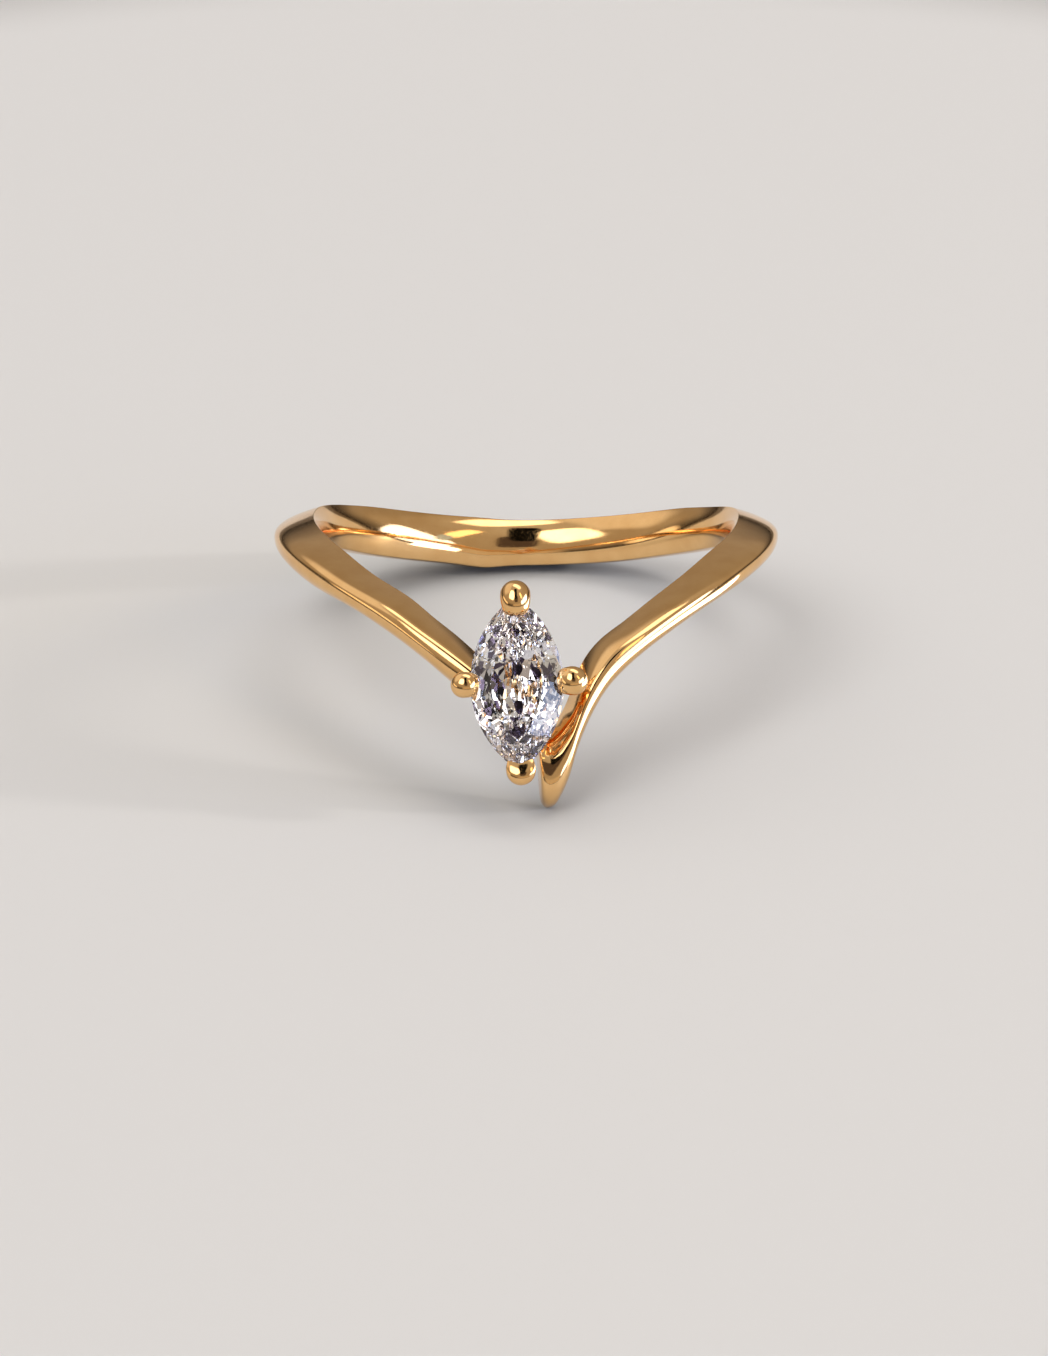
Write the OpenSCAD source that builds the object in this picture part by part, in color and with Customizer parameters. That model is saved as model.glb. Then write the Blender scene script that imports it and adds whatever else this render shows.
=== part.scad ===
// Solitaire ring: a pointed shank with a marquise diamond in four round claws.
// It lies on its side, on the point of the shank and the middle of its back.

/* [Shank] */
// Radius of the finger hollow at the middle of the band
finger_r = 8.1; // [7.2:0.1:9.6]
// Radial thickness of the shank
shank_t = 1.9; // [1.6:0.05:2.2]
// Share of the thickness that the inside rounds over, from its crisp edges in
comfort = 0.18; // [0.1:0.01:0.3]
// Squareness of the outer face's lower half, where 2 is an ellipse
lower_squareness = 2.6; // [2:0.1:4]
// Flatness of the outer face up to its crisp upper edge, where 2 is a parabola
upper_flatness = 2.3; // [2:0.1:4]
// Flatness of the inner face between its crisp edges
inner_flatness = 2.4; // [2:0.1:4]

/* [Stone] */
// Length of the marquise
stone_l = 6.8; // [6:0.1:7.2]
// Width of the marquise
stone_w = 3.62; // [3.4:0.02:4]
// Thickness of the girdle
girdle_t = 0.1; // [0.06:0.02:0.16]
// Height of the crown above the girdle
crown_h = 0.5; // [0.4:0.02:0.6]
// Depth of the pavilion below the girdle
pavilion_h = 1.62; // [1.4:0.02:1.7]
// Radius at which the middle of the girdle stands from the finger's axis
stone_r = 10.8; // [10.6:0.05:11.2]
// Turn of the stone round the shank, from the front
stone_turn = -2.1; // [-4:0.1:4]
// Level of the middle of the stone along the finger's axis
stone_level = -6.84; // [-7.2:0.02:-6.5]
// Roll of the stone in its setting
stone_roll = 1.5; // [-3:0.1:3]

/* [Claws] */
// Radius of the claw over the upper point of the stone
upper_claw_r = 0.60; // [0.45:0.01:0.65]
// Radius of the claw under the lower point of the stone
lower_claw_r = 0.58; // [0.45:0.01:0.65]
// Radius of the two side claws
side_claw_r = 0.51; // [0.4:0.01:0.55]
// Radius of the claws' stems at their feet
stem_r = 0.34; // [0.3:0.01:0.4]
// Clearance between the stone and its seat
seat_gap = 0.03; // [0.02:0.01:0.05]

/* [Hidden] */

// A row for each section: angle round the finger from the front, lower edge, upper edge.
ANGLE = 0;
LOWER = 1;
UPPER = 2;
SECTIONS = [
    [-180.00,  -0.01,   1.82],
    [-173.00,  -0.07,   1.85],
    [-168.75,  -0.14,   1.90],
    [-164.00,  -0.06,   1.93],
    [-158.00,   0.02,   1.96],
    [-135.00,   0.12,   2.06],
    [-120.00,   0.17,   1.95],
    [-105.00,  -0.06,   1.66],
    [ -90.00,  -0.56,   1.02],
    [ -77.00,  -1.33,   0.33],
    [ -60.00,  -2.56,  -0.76],
    [ -45.00,  -3.61,  -2.04],
    [ -33.00,  -4.80,  -3.03],
    [ -25.00,  -5.76,  -3.95],
    [ -18.00,  -6.70,  -4.76],
    [ -10.00,  -7.63,  -5.88],
    [  -4.00,  -8.50,  -6.90],
    [   0.00,  -8.95,  -7.70],
    [   2.50,  -9.45,  -8.15],
    [   3.00, -10.85,  -8.35],
    [   3.70, -11.28,  -8.45],
    [   5.20, -11.45,  -8.50],
    [   6.80, -11.38,  -8.25],
    [   8.70, -10.94,  -7.80],
    [  10.10, -10.42,  -7.41],
    [  11.70,  -9.51,  -6.82],
    [  14.60,  -8.30,  -5.74],
    [  19.40,  -6.94,  -4.84],
    [  26.70,  -5.73,  -4.03],
    [  35.70,  -4.65,  -3.05],
    [  45.60,  -3.65,  -2.10],
    [  58.00,  -2.64,  -0.99],
    [  77.00,  -1.26,   0.28],
    [  90.00,  -0.53,   1.05],
    [ 105.00,  -0.06,   1.60],
    [ 120.00,   0.18,   1.84],
    [ 135.00,   0.16,   1.98],
    [ 158.00,   0.04,   1.90],
    [ 180.00,  -0.01,   1.82],
];

// Angles of the stations that the shank is swept through, closest together at its point.
STATIONS = concat(
    [for (a = [-180 : 3.75 : -33.75]) a],
    [for (a = [-30 : 1.5 : -4.5]) a],
    [for (a = [-3 : 0.6 : 12]) a],
    [for (a = [13.5 : 1.5 : 30]) a],
    [for (a = [33.75 : 3.75 : 176.25]) a]
);
OUTER_STEPS = 14;
INNER_STEPS = 10;

// Slope of one column of the table between a row and the next.
function row_slope(column, i) =
    (SECTIONS[i + 1][column] - SECTIONS[i][column]) / (SECTIONS[i + 1][ANGLE] - SECTIONS[i][ANGLE]);

// Slope of the smooth curve at a row, level wherever the column turns.
function knot_slope(column, i) =
    i == 0 || i == len(SECTIONS) - 1 ? 0 :
    let (before = row_slope(column, i - 1), after = row_slope(column, i))
    before * after <= 0 ? 0 : 2 * before * after / (before + after);

function row_below(a, i = 0) =
    i >= len(SECTIONS) - 2 || a < SECTIONS[i + 1][ANGLE] ? i : row_below(a, i + 1);

// Level of a column at any angle, on a cubic from row to row.
function level(column, a) =
    let (
        i = row_below(a),
        span = SECTIONS[i + 1][ANGLE] - SECTIONS[i][ANGLE],
        s = (a - SECTIONS[i][ANGLE]) / span
    )
    (2 * pow(s, 3) - 3 * pow(s, 2) + 1) * SECTIONS[i][column]
    + (pow(s, 3) - 2 * pow(s, 2) + s) * span * knot_slope(column, i)
    + (3 * pow(s, 2) - 2 * pow(s, 3)) * SECTIONS[i + 1][column]
    + (pow(s, 3) - pow(s, 2)) * span * knot_slope(column, i + 1);

// How far each face stands out at a share of the half height, from -1 to 1, as a share of its depth.
function outer_bulge(s) =
    s > 0 ? 1 - pow(s, upper_flatness) : pow(1 - pow(-s, lower_squareness), 1 / lower_squareness);
function inner_bulge(s) = 1 - pow(abs(s), inner_flatness);

// One section as [radius, level] points, up the outer face and down the inner one.
function section(a) =
    let (
        low = level(LOWER, a),
        high = level(UPPER, a),
        middle = (low + high) / 2,
        half = (high - low) / 2,
        edge_r = finger_r + comfort * shank_t
    )
    concat(
        [for (k = [0 : OUTER_STEPS - 1])
            let (s = -cos(180 * k / OUTER_STEPS))
            [edge_r + (1 - comfort) * shank_t * outer_bulge(s), middle + half * s]],
        [for (k = [0 : INNER_STEPS - 1])
            let (s = cos(180 * k / INNER_STEPS))
            [edge_r - comfort * shank_t * inner_bulge(s), middle + half * s]]
    );

SHANK_RINGS = [for (a = STATIONS) [for (p = section(a)) [p[0] * sin(a), -p[0] * cos(a), p[1]]]];
SHANK_POINTS = [for (ring = SHANK_RINGS) each ring];

// How far below the finger's axis a set of points reaches once the ring leans back.
function lowest(points, lean) = min([for (p = points) p[2] * cos(lean) - p[1] * sin(lean)]);

// Lean at which the point of the shank and its back stand level, by repeated correction.
FRONT_POINTS = [for (p = SHANK_POINTS) if (p[1] < 0) p];
BACK_POINTS = [for (p = SHANK_POINTS) if (p[1] > 0) p];
function rest_lean(lean, rounds) =
    rounds == 0 ? lean :
    let (drop = lowest(BACK_POINTS, lean) - lowest(FRONT_POINTS, lean))
    rest_lean(lean + atan(drop / (2 * (finger_r + shank_t))), rounds - 1);
lean = rest_lean(30, 12);
rest_height = -lowest(SHANK_POINTS, lean);

// Places in the setting: where the stems stand, the ends of the stone, and the claws' heads and tips.
foot_z = -1.75;
foot_y = 2.05;
foot_x = 1.6;
gallery_y = 2.05;
gallery_x = 1.4;
gallery_r = 0.31;
GALLERY_STEP = 12;
GALLERY_SIDES = 12;
end_y = stone_l / 2 + 0.1;
side_x = stone_w / 2 + 0.32;
head_z = -0.25;
tip_z = 0.18;
upper_tip_out = end_y - 0.06;
lower_head_out = end_y - 0.06;
lower_tip_out = end_y - 0.14;
upper_claw_x = 0.03;
claw_x = 0.05;
right_claw_y = 0.06;
head_share = 0.86;
reach_share = 0.876;
upper_lean_in = 0.62;
lean_in = 0.45;

// Middle of the leaning ring's length, from the lower claw to the back, which stands over the origin.
function along(y, z) = y * cos(lean) + z * sin(lean);
claw_reach = along(-(stone_r + tip_z) * cos(stone_turn), stone_level - lower_tip_out)
    - lower_claw_r * reach_share;
mid_y = (claw_reach + max([for (p = SHANK_POINTS) along(p[1], p[2])])) / 2;

// Arc of the marquise outline, and the steepest direction that it faces.
arc_r = (pow(stone_l / 2, 2) + pow(stone_w / 2, 2)) / stone_w;
arc_end = asin(stone_l / 2 / arc_r);

// How far the outline reaches towards an angle, where 0 is across the stone.
function reach(a) =
    abs(a) <= arc_end ? arc_r - (arc_r - stone_w / 2) * cos(a) : stone_l / 2 * abs(sin(a));

// Steepness of a pavilion facet that runs down to the point under the stone.
function pavilion_angle(a) = atan(pavilion_h / reach(a));

// Directions of the facets in one quarter of the stone, mirrored to the other three.
MAINS = [0, 40, 90];
HALVES = [12, 30, 50, 66];
STARS = [20, 62];
crown_angle = 34;
crown_half_angle = 41;
star_angle = 20;
pavilion_half_extra = 3.2;
star_lift = 0.98;
star_z = girdle_t / 2 + 0.2;
OUTLINE_SIDES = 160;

module each_side(a) {
    for (side = [a, -a, 180 - a, 180 + a]) rotate([0, 0, side]) children();
}

// Everything beyond a facet: its steepness, its distance out and height there, up or down.
module beyond(angle, distance, z, up) {
    size = 4 * stone_l;
    translate([distance, 0, z]) rotate([0, up * (angle - 90), 0])
        translate([0, -size / 2, -size / 2]) cube(size);
}

// The faceted stone, grown on every side to cut its own seat.
module cut_stone(grow) {
    top = girdle_t / 2 + crown_h + grow;
    bottom = -girdle_t / 2 - pavilion_h - grow;
    difference() {
        intersection_for(side = [-1, 1])
            translate([side * (arc_r - stone_w / 2), 0, bottom])
                cylinder(r = arc_r + grow, h = top - bottom, $fn = OUTLINE_SIDES);
        for (a = MAINS) each_side(a)
            beyond(crown_angle, reach(a) + grow / sin(crown_angle), girdle_t / 2, 1);
        for (a = HALVES) each_side(a)
            beyond(crown_half_angle, reach(a) + grow / sin(crown_half_angle), girdle_t / 2, 1);
        for (a = STARS) each_side(a)
            beyond(star_angle, reach(a) * star_lift + grow / sin(star_angle), star_z, 1);
        for (a = MAINS) each_side(a) {
            angle = pavilion_angle(a);
            beyond(angle, reach(a) + grow / sin(angle), -girdle_t / 2, -1);
        }
        for (a = HALVES) each_side(a) {
            angle = pavilion_angle(a) + pavilion_half_extra;
            beyond(angle, reach(a) + grow / sin(angle), -girdle_t / 2, -1);
        }
    }
}

// From the stone's own frame, its table facing up, to its place on the ring.
module in_setting() {
    rotate([0, 0, stone_turn]) translate([0, -stone_r, stone_level])
        rotate([90, 0, 0]) rotate([0, 0, stone_roll]) children();
}

// From the ring's frame, its finger axis upright, to the way it lies.
module laid() {
    translate([0, -mid_y, rest_height]) rotate([-lean, 0, 0]) children();
}

// Closed surface through a list of equal rings, with flat ends or joined into a loop.
module skin(rings, loop) {
    count = len(rings);
    sides = len(rings[0]);
    polyhedron([for (ring = rings) each ring], concat(
        [for (i = [0 : count - (loop ? 1 : 2)]) for (k = [0 : sides - 1])
            let (
                j = (i + 1) % count,
                n = (k + 1) % sides,
                a = i * sides + k,
                b = i * sides + n,
                c = j * sides + n,
                d = j * sides + k
            )
            each [[a, b, c], [a, c, d]]],
        loop ? [] : [
            [for (k = [sides - 1 : -1 : 0]) k],
            [for (k = [0 : sides - 1]) (count - 1) * sides + k]
        ]
    ));
}

// Rings of a claw's tip: height and radius as shares of its radius, and share of its lean.
UP = 0;
INWARDS = 1;
SHARE = 2;
DOME = [
    [0.35, 0.08, 0.97],
    [0.68, 0.30, 0.80],
    [0.90, 0.62, 0.54],
    [1.00, 0.85, 0.26],
];
CLAW_SIDES = 18;
FOOT_DOME = [75, 40];

// Ring of a claw that stands outwards from the stone: its middle, radius and tilt outwards.
function claw_ring(out, up, r, tilt) =
    [for (k = [0 : CLAW_SIDES - 1])
        let (b = -360 * (k + 0.37) / CLAW_SIDES)
        [out + r * cos(b) * cos(tilt), r * sin(b), up - r * cos(b) * sin(tilt)]];

// A claw: a stem from its foot to the girdle, and a round tip that leans in over the stone.
module claw(foot_out, head_out, tip_out, r, lean_in) {
    tilt = atan2(head_out - foot_out, head_z - foot_z);
    skin(concat(
        [for (b = FOOT_DOME)
            claw_ring(foot_out - stem_r * sin(b) * sin(tilt), foot_z - stem_r * sin(b) * cos(tilt),
                      stem_r * cos(b), tilt)],
        [claw_ring(foot_out, foot_z, stem_r, tilt)],
        [claw_ring(head_out, head_z, head_share * r, tilt / 2)],
        [claw_ring(tip_out, tip_z, r, 0)],
        [for (row = DOME)
            claw_ring(tip_out - lean_in * row[INWARDS], tip_z + r * row[UP], r * row[SHARE], 0)]
    ), false);
}

// The four claws on a small oval gallery that lies within the thickness of the shank.
module setting() {
    translate([upper_claw_x, 0, 0]) rotate([0, 0, 90])
        claw(foot_y, end_y, upper_tip_out, upper_claw_r, upper_lean_in);
    translate([claw_x, 0, 0]) rotate([0, 0, -90])
        claw(foot_y, lower_head_out, lower_tip_out, lower_claw_r, lean_in);
    translate([claw_x, right_claw_y, 0])
        claw(foot_x, side_x, side_x, side_claw_r, lean_in);
    translate([claw_x, 0, 0]) rotate([0, 0, 180])
        claw(foot_x, side_x, side_x, side_claw_r, lean_in);
    skin([for (a = [0 : GALLERY_STEP : 359])
        [for (k = [0 : GALLERY_SIDES - 1])
            let (b = 360 * (k + 0.5) / GALLERY_SIDES)
            [(gallery_x + gallery_r * cos(b)) * cos(a), (gallery_y + gallery_r * cos(b)) * sin(a),
             foot_z + gallery_r * sin(b)]]
    ], true);
}

module claw_set_shank() {
    color("goldenrod") laid() difference() {
        union() {
            skin(SHANK_RINGS, true);
            in_setting() setting();
        }
        in_setting() cut_stone(seat_gap);
    }
}

module marquise_stone() {
    color("aliceblue") laid() in_setting() cut_stone(0);
}

claw_set_shank();
marquise_stone();
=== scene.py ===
"""Solitaire ring: a polished gold shank that comes to a point, with a marquise diamond in four claws.

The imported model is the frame. The shank, the claws and the gallery are modelled finer here, in the place
of the frame's gold, and the diamond is cut anew in the place of the frame's stone.
"""

import logging
import math
from dataclasses import dataclass, field
from enum import Enum

import bpy
from mathutils import Matrix, Vector

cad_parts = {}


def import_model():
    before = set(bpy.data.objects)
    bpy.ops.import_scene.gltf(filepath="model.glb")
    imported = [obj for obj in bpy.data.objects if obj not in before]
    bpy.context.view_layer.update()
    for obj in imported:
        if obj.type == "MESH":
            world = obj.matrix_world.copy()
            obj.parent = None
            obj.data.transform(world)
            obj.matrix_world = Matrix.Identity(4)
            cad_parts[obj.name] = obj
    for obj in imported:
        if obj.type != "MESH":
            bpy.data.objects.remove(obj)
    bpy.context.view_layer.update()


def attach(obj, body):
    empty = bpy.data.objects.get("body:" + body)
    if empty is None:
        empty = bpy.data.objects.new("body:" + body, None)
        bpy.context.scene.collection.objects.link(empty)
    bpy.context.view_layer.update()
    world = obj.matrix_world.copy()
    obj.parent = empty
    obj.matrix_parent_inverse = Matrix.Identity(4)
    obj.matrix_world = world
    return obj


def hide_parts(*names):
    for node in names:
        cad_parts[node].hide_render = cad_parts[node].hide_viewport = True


LOG = logging.getLogger("ring")
MM = 0.001
GOLD_NODE = "claw_set_shank"
STONE_NODE = "marquise_stone"
BODY = "root"
Colour = tuple[float, float, float]


class Coat(Enum):
    """The names of the two finishes."""

    GOLD = "gold"
    DIAMOND = "diamond"


def fill_ramp(ramp: bpy.types.ColorRamp, stops: tuple[tuple[float, Colour], ...]) -> None:
    """Puts colours on a ramp in the place of its own.

    Args:
        ramp: the ramp.
        stops: the place and the colour of each stop, in order.
    """
    while len(ramp.elements) > 1:
        ramp.elements.remove(ramp.elements[-1])
    for index, (position, colour) in enumerate(stops):
        stop = ramp.elements[0] if index == 0 else ramp.elements.new(position)
        stop.position = position
        stop.color = (*colour, 1.0)


def add_math(tree: bpy.types.NodeTree, operation: str, vectors: bool = False) -> bpy.types.Node:
    """Adds a node that works something out.

    Args:
        tree: the nodes that it joins.
        operation: what it does.
        vectors: whether it works on vectors.

    Returns:
        The node.
    """
    made = tree.nodes.new("ShaderNodeVectorMath" if vectors else "ShaderNodeMath")
    made.operation = operation
    return made


@dataclass(frozen=True)
class PolishedGold:
    """Yellow gold with a mirror polish and the faint marks that polishing and wear leave.

    Attributes:
        colour: the gold's colour.
        worn_colour: its colour where it is worn.
        worn_until: where on the wave the worn colour ends, and where the gold's own begins.
        roughness: roughness between the marks and on them.
        marks_between: where on the marks' pattern the roughness starts and stops to rise.
        wave_scale: scale of the wave that the colour follows.
        wave_detail: how fine that wave is.
        mark_scale: scale of the marks.
        mark_detail: how fine the marks are.
        bump_strength: strength of the marks' relief.
        bump_depth: depth of the relief, in mm.
    """

    colour: Colour = (0.90, 0.565, 0.25)
    worn_colour: Colour = (0.84, 0.505, 0.21)
    worn_until: tuple[float, float] = (0.35, 0.6)
    roughness: tuple[float, float] = (0.05, 0.13)
    marks_between: tuple[float, float] = (0.35, 0.65)
    wave_scale: float = 900.0
    wave_detail: float = 3.0
    mark_scale: float = 9000.0
    mark_detail: float = 4.0
    bump_strength: float = 0.04
    bump_depth: float = 0.01

    def make(self) -> bpy.types.Material:
        """Builds the material.

        Returns:
            The gold, with colour, roughness and bump that vary over the piece.
        """
        made = bpy.data.materials.new("polished_gold")
        made.use_nodes = True
        tree = made.node_tree
        shader = tree.nodes["Principled BSDF"]
        shader.inputs["Metallic"].default_value = 1.0
        where = tree.nodes.new("ShaderNodeTexCoord")
        wave = tree.nodes.new("ShaderNodeTexNoise")
        wave.inputs["Scale"].default_value = self.wave_scale
        wave.inputs["Detail"].default_value = self.wave_detail
        marks = tree.nodes.new("ShaderNodeTexNoise")
        marks.inputs["Scale"].default_value = self.mark_scale
        marks.inputs["Detail"].default_value = self.mark_detail
        tint = tree.nodes.new("ShaderNodeValToRGB")
        fill_ramp(tint.color_ramp, tuple(zip(self.worn_until, (self.worn_colour, self.colour))))
        gloss = tree.nodes.new("ShaderNodeMapRange")
        gloss.inputs["From Min"].default_value = self.marks_between[0]
        gloss.inputs["From Max"].default_value = self.marks_between[1]
        gloss.inputs["To Min"].default_value = self.roughness[0]
        gloss.inputs["To Max"].default_value = self.roughness[1]
        bump = tree.nodes.new("ShaderNodeBump")
        bump.inputs["Strength"].default_value = self.bump_strength
        bump.inputs["Distance"].default_value = self.bump_depth * MM
        link = tree.links.new
        link(where.outputs["Object"], wave.inputs["Vector"])
        link(where.outputs["Object"], marks.inputs["Vector"])
        link(wave.outputs["Fac"], tint.inputs["Fac"])
        link(marks.outputs["Fac"], gloss.inputs["Value"])
        link(marks.outputs["Fac"], bump.inputs["Height"])
        link(tint.outputs["Color"], shader.inputs["Base Color"])
        link(gloss.outputs["Result"], shader.inputs["Roughness"])
        link(bump.outputs["Normal"], shader.inputs["Normal"])
        return made


@dataclass(frozen=True)
class CutDiamond:
    """Diamond: a clear crown over a pavilion that sends the light back from many small faces, as a mirror
    whose faces carry painted reflections, some dark and some bright.

    Attributes:
        colour: what the stone leaves of the light.
        ior: index of refraction.
        faces: scale of the small faces that the pavilion seems to have through the crown.
        tilt: how far those faces turn to and fro, as a share of the normal.
        painted_facet_light: the painted reflections of the faces as mirror colours, dark ones first, and
            the share at which each begins.
        mirror_depth: how far under the girdle's middle the mirror begins, in mm.
    """

    colour: Colour = (0.97, 0.975, 0.99)
    ior: float = 1.8
    faces: float = 2300.0
    tilt: float = 0.26
    painted_facet_light: tuple[tuple[float, Colour], ...] = (
        (0.0, (0.10, 0.08, 0.13)),
        (0.11, (0.90, 0.90, 0.95)),
        (0.24, (1.0, 0.93, 0.88)),
        (0.36, (1.0, 1.0, 1.0)),
    )
    mirror_depth: float = 0.03

    def make(self, middle: Vector, up: Vector) -> bpy.types.Material:
        """Builds the material.

        Args:
            middle: the middle of the girdle.
            up: the direction that the table faces.

        Returns:
            A clear shader over the girdle and a mirror broken into small faces under it, each face painted
            dark or bright as a painted reflection.
        """
        made = bpy.data.materials.new("cut_diamond")
        made.use_nodes = True
        tree = made.node_tree
        link = tree.links.new
        shader = tree.nodes["Principled BSDF"]
        shader.inputs["Roughness"].default_value = 0.0
        shader.inputs["IOR"].default_value = self.ior
        where = tree.nodes.new("ShaderNodeTexCoord")
        height = add_math(tree, "DOT_PRODUCT", vectors=True)
        height.inputs[1].default_value = up
        under = add_math(tree, "LESS_THAN")
        under.inputs[1].default_value = middle.dot(up) - self.mirror_depth * MM
        clear = add_math(tree, "SUBTRACT")
        clear.inputs[0].default_value = 1.0
        cells = tree.nodes.new("ShaderNodeTexVoronoi")
        cells.inputs["Scale"].default_value = self.faces
        apart = tree.nodes.new("ShaderNodeSeparateColor")
        # Painted reflections: each small face of the mirror takes a dark or bright colour from this ramp,
        # in place of the light that the stone sends back.
        painted_facet_light = tree.nodes.new("ShaderNodeValToRGB")
        painted_facet_light.color_ramp.interpolation = "CONSTANT"
        fill_ramp(painted_facet_light.color_ramp, self.painted_facet_light)
        tint = tree.nodes.new("ShaderNodeMix")
        tint.data_type = "RGBA"
        tint.inputs["A"].default_value = (*self.colour, 1.0)
        swing = add_math(tree, "SUBTRACT", vectors=True)
        swing.inputs[1].default_value = (0.5, 0.5, 0.5)
        amount = add_math(tree, "MULTIPLY")
        amount.inputs[1].default_value = self.tilt
        turned = add_math(tree, "SCALE", vectors=True)
        surface = tree.nodes.new("ShaderNodeNewGeometry")
        total = add_math(tree, "ADD", vectors=True)
        normal = add_math(tree, "NORMALIZE", vectors=True)
        link(where.outputs["Object"], height.inputs[0])
        link(height.outputs["Value"], under.inputs[0])
        link(under.outputs["Value"], clear.inputs[1])
        link(under.outputs["Value"], shader.inputs["Metallic"])
        link(clear.outputs["Value"], shader.inputs["Transmission Weight"])
        link(where.outputs["Object"], cells.inputs["Vector"])
        link(cells.outputs["Color"], apart.inputs["Color"])
        link(apart.outputs["Red"], painted_facet_light.inputs["Fac"])
        link(under.outputs["Value"], tint.inputs["Factor"])
        link(painted_facet_light.outputs["Color"], tint.inputs["B"])
        link(tint.outputs["Result"], shader.inputs["Base Color"])
        link(cells.outputs["Color"], swing.inputs[0])
        link(under.outputs["Value"], amount.inputs[0])
        link(swing.outputs["Vector"], turned.inputs[0])
        link(amount.outputs["Value"], turned.inputs["Scale"])
        link(surface.outputs["Normal"], total.inputs[0])
        link(turned.outputs["Vector"], total.inputs[1])
        link(total.outputs["Vector"], normal.inputs[0])
        link(normal.outputs["Vector"], shader.inputs["Normal"])
        return made


@dataclass(frozen=True)
class SatinPaper:
    """The pale surface that the ring lies on, with painted shade that darkens it far off, as if the light
    fell away there.

    Attributes:
        colour: its colour near the ring.
        painted_far_shade: its painted shade colour far off.
        near: distance from the ring at which it starts to darken, in m.
        far: distance at which it is dark, in m.
        roughness: its roughness.
    """

    colour: Colour = (0.725, 0.73, 0.735)
    painted_far_shade: Colour = (0.10, 0.085, 0.07)
    near: float = 0.068
    far: float = 0.082
    roughness: float = 0.6

    def make(self) -> bpy.types.Material:
        """Builds the material.

        Returns:
            A pale grey near the ring, darkened far off by painted shade.
        """
        made = bpy.data.materials.new("satin_paper")
        made.use_nodes = True
        tree = made.node_tree
        shader = tree.nodes["Principled BSDF"]
        shader.inputs["Roughness"].default_value = self.roughness
        where = tree.nodes.new("ShaderNodeTexCoord")
        # Painted shade: the colour darkens with the distance from the ring, as if the light fell away.
        away = add_math(tree, "LENGTH", vectors=True)
        fade = tree.nodes.new("ShaderNodeMapRange")
        fade.interpolation_type = "SMOOTHSTEP"
        fade.inputs["From Min"].default_value = self.near
        fade.inputs["From Max"].default_value = self.far
        tint = tree.nodes.new("ShaderNodeValToRGB")
        fill_ramp(tint.color_ramp, ((0.0, self.colour), (1.0, self.painted_far_shade)))
        link = tree.links.new
        link(where.outputs["Object"], away.inputs[0])
        link(away.outputs["Value"], fade.inputs["Value"])
        link(fade.outputs["Result"], tint.inputs["Fac"])
        link(tint.outputs["Color"], shader.inputs["Base Color"])
        return made


@dataclass(frozen=True)
class Section:
    """One row of the shank's table.

    Attributes:
        angle: degrees round the finger from the front.
        lower: level of the lower edge, in mm.
        upper: level of the upper edge, in mm.
    """

    angle: float
    lower: float
    upper: float


SHANK_SECTIONS = tuple(Section(*row) for row in (
    (-180.00, -0.01, 1.82),
    (-173.00, -0.07, 1.85),
    (-168.75, -0.14, 1.90),
    (-164.00, -0.06, 1.93),
    (-158.00, 0.02, 1.96),
    (-135.00, 0.12, 2.06),
    (-120.00, 0.17, 1.95),
    (-105.00, -0.06, 1.66),
    (-90.00, -0.56, 1.02),
    (-77.00, -1.33, 0.33),
    (-60.00, -2.56, -0.76),
    (-45.00, -3.61, -2.04),
    (-33.00, -4.80, -3.03),
    (-25.00, -5.76, -3.95),
    (-18.00, -6.70, -4.76),
    (-10.00, -7.63, -5.88),
    (-4.00, -8.50, -6.90),
    (0.00, -8.95, -7.70),
    (2.50, -9.45, -8.15),
    (3.00, -10.85, -8.35),
    (3.70, -11.28, -8.45),
    (5.20, -11.45, -8.50),
    (6.80, -11.38, -8.25),
    (8.70, -10.94, -7.80),
    (10.10, -10.42, -7.41),
    (11.70, -9.51, -6.82),
    (14.60, -8.30, -5.74),
    (19.40, -6.94, -4.84),
    (26.70, -5.73, -4.03),
    (35.70, -4.65, -3.05),
    (45.60, -3.65, -2.10),
    (58.00, -2.64, -0.99),
    (77.00, -1.26, 0.28),
    (90.00, -0.53, 1.05),
    (105.00, -0.06, 1.60),
    (120.00, 0.18, 1.84),
    (135.00, 0.16, 1.98),
    (158.00, 0.04, 1.90),
    (180.00, -0.01, 1.82),
))


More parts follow.
